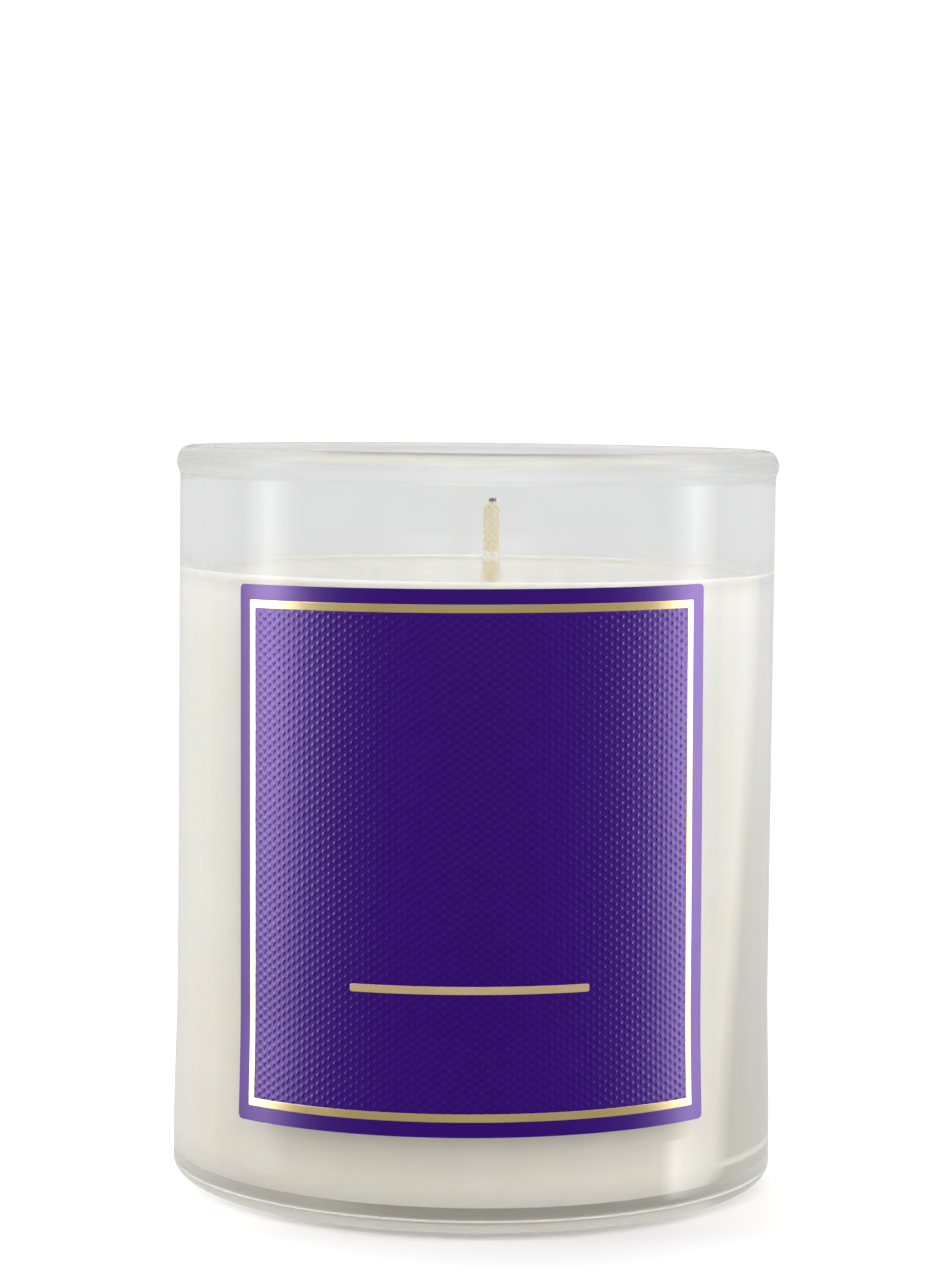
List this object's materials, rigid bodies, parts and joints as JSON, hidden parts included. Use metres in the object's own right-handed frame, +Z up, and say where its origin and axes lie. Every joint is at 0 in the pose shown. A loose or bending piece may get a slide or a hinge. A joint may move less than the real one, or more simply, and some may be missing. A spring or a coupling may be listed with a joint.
{
  "type": "jar candle",
  "caption": "Poured wax candle with a cotton wick in a clear glass tumbler, with a foil-framed wrap label on the front.",
  "frame": {"origin": "on the resting plane, below the middle of the jar", "axes": "+Z up along the jar's axis, -Y out through the label on the front, +X to the right of someone facing the label"},
  "size_m": [0.0744, 0.0744, 0.091],
  "materials": {
    "clear_glass": "clear, fire-polished",
    "wax": "warm white poured wax, softly translucent, satin",
    "cotton_wick": "braided cotton, waxed",
    "tinplate": "plain tinplate",
    "adhesive": "dull foam adhesive",
    "purple_label": "semi-gloss coated, with a fine raised dot pattern inside the frame",
    "gold_foil": "bright stamped foil"
  },
  "bodies": {
    "root": {"glass_jar": "clear_glass", "wax_fill": "wax", "wick": "cotton_wick", "wick_tab": "tinplate", "tab_adhesive": "adhesive", "label": "purple_label", "label_foil_frame": "gold_foil", "label_foil_rule": "gold_foil"}
  },
  "joints": []
}
